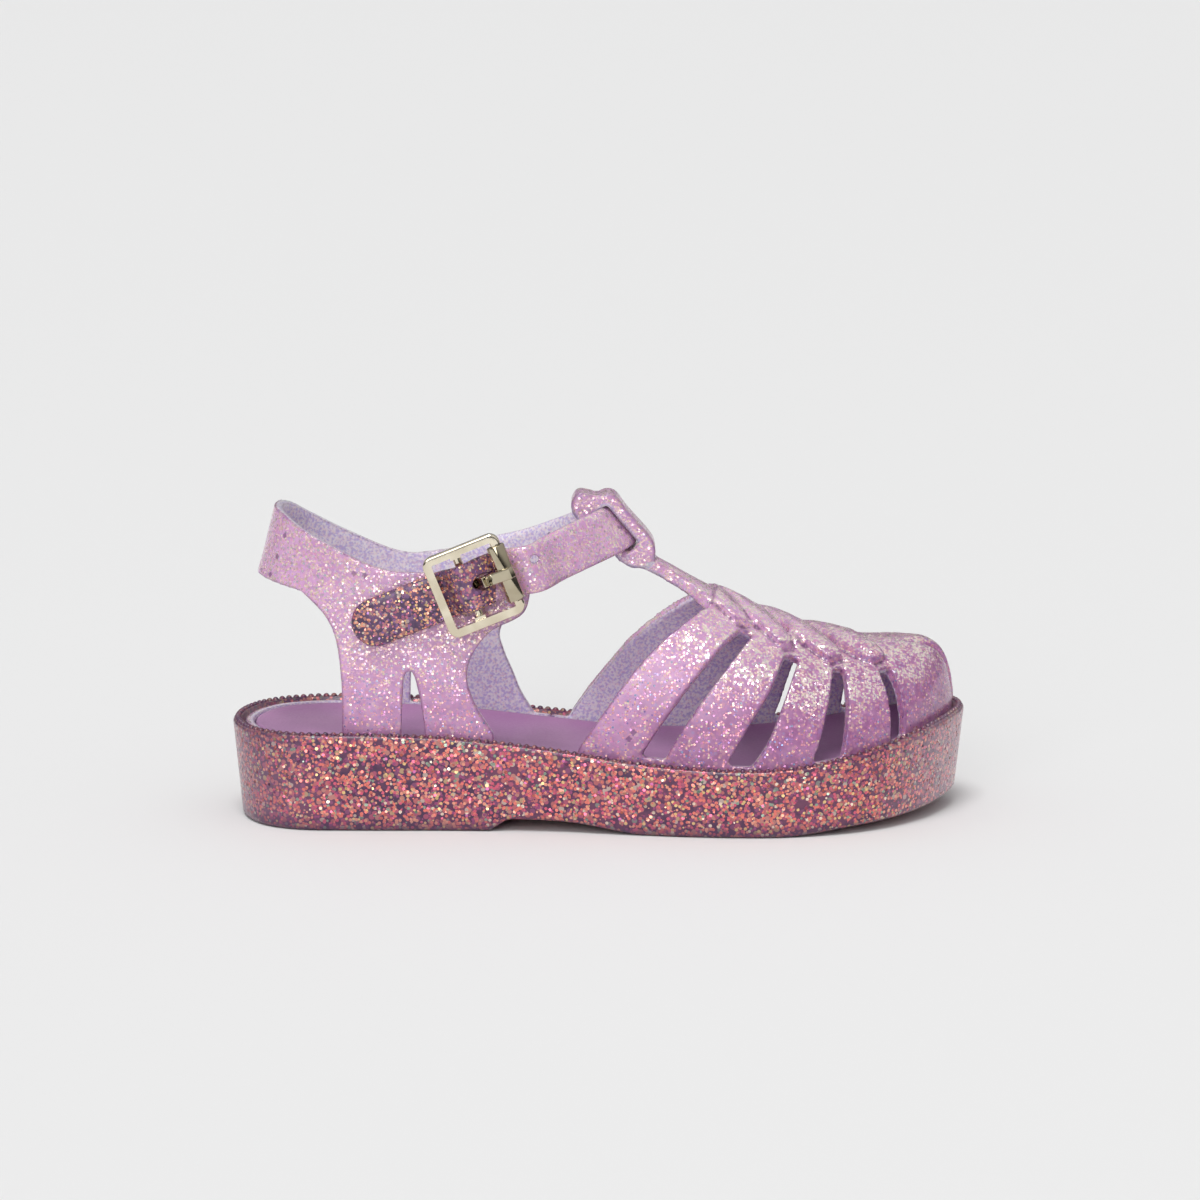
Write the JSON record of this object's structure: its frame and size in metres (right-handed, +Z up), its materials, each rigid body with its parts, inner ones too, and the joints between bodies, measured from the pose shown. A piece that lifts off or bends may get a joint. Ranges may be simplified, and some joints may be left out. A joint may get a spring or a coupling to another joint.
{
  "type": "jelly sandal",
  "caption": "child's moulded jelly sandal with a woven closed-toe vamp, T-bar, ankle strap with a roller buckle, and a one-piece sole",
  "frame": {"origin": "on the floor under the middle of the length and of the width: the middle of the underside of the bounding box", "axes": "+X from the heel to the toe, +Y to the inner side of the right foot, -Y to the buckle side, +Z up"},
  "size_m": [0.173, 0.067, 0.0762],
  "materials": {
    "sole": "dark plum flexible plastic packed with coral and gold glitter",
    "footbed": "opaque satin purple flexible plastic",
    "upper": "translucent lilac flexible plastic with fine cream and pink glitter",
    "buckle": "pale gold plated metal",
    "roller": "polished bright metal",
    "prong": "polished bright metal"
  },
  "bodies": {
    "root": {"outsole": "sole", "insole": "footbed", "upper": "upper", "buckle_frame": "buckle", "buckle_roller": "roller", "buckle_prong": "prong"}
  },
  "joints": []
}
